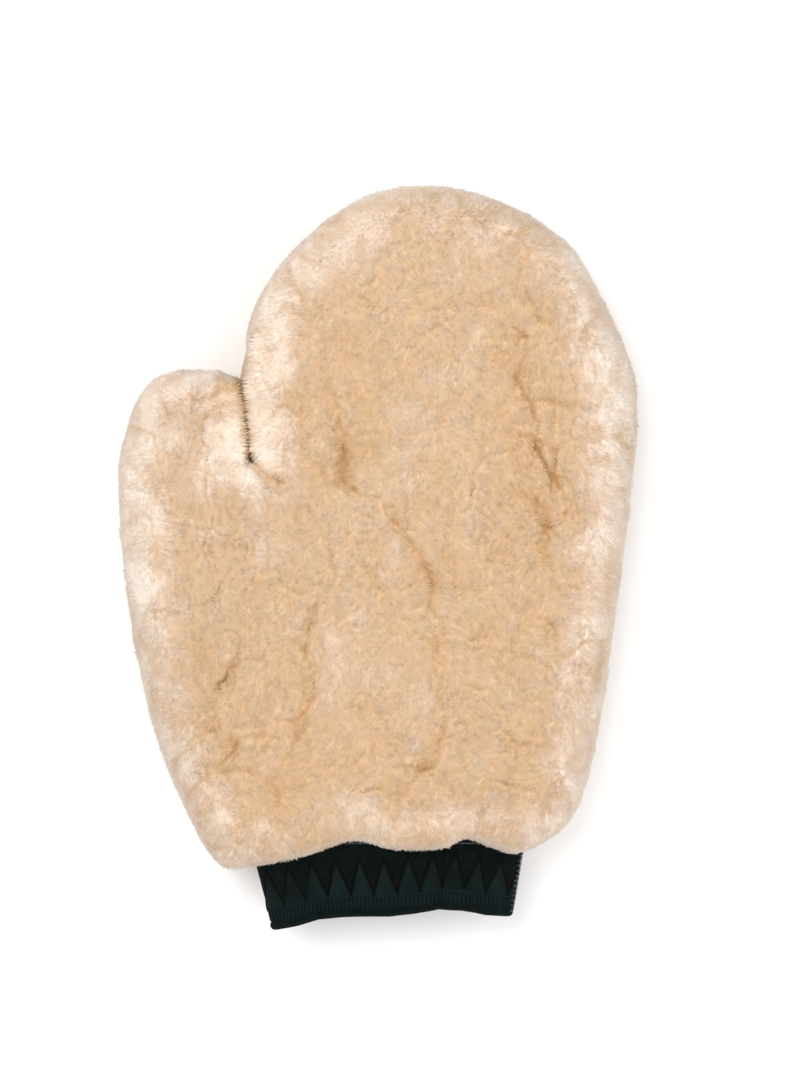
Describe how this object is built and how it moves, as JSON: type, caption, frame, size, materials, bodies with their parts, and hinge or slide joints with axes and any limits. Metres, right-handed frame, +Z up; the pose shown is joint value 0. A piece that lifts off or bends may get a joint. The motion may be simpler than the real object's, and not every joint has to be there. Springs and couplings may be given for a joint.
{
  "type": "wash mitt",
  "caption": "Sheepskin wash mitt lying flat, with a thumb, thick wool pile all round and a dark knitted elastic cuff; worn over the hand to wash paintwork.",
  "frame": {"origin": "under the middle of the mitt's bounding box, on the surface that it lies on", "axes": "+Y from the cuff to the fingertips, +X from the thumb's side to the little finger's side, +Z up from the back panel to the palm panel"},
  "size_m": [0.2106, 0.299, 0.0452],
  "materials": {
    "wool_pile": "dense sheared sheepskin wool, cream with golden creases",
    "hide": "tanned suede side, matte",
    "seam_thread": "polyester overlock thread",
    "cuff_knit": "very dark green knit with a raised zigzag",
    "cuff_rib": "very dark green ribbed knit with a smooth hem",
    "cuff_lining": "plain dark knit, turned in",
    "elastic": "covered elastic, hidden in the hem",
    "overlock_thread": "pale overlock thread"
  },
  "bodies": {
    "hand": {"palm_fleece": "wool_pile", "back_fleece": "wool_pile", "palm_hide": "hide", "back_hide": "hide", "hand_edge_seam": "seam_thread", "cuff_zigzag_band": "cuff_knit", "cuff_rib_band": "cuff_rib", "cuff_inner_layer": "cuff_lining", "cuff_elastic": "elastic", "cuff_side_seam": "overlock_thread", "cuff_join_seam": "overlock_thread"},
    "thumb": {"thumb_palm_fleece": "wool_pile", "thumb_back_fleece": "wool_pile", "thumb_palm_hide": "hide", "thumb_back_hide": "hide", "thumb_edge_seam": "seam_thread"}
  },
  "joints": [
    {"name": "thumb_fold", "type": "hinge", "parent": "hand", "child": "thumb", "pos_m": [-0.05031, 0.039, 0.0332], "axis": [0.2662, 0.9639, 0], "range_deg": [0, 40]}
  ]
}
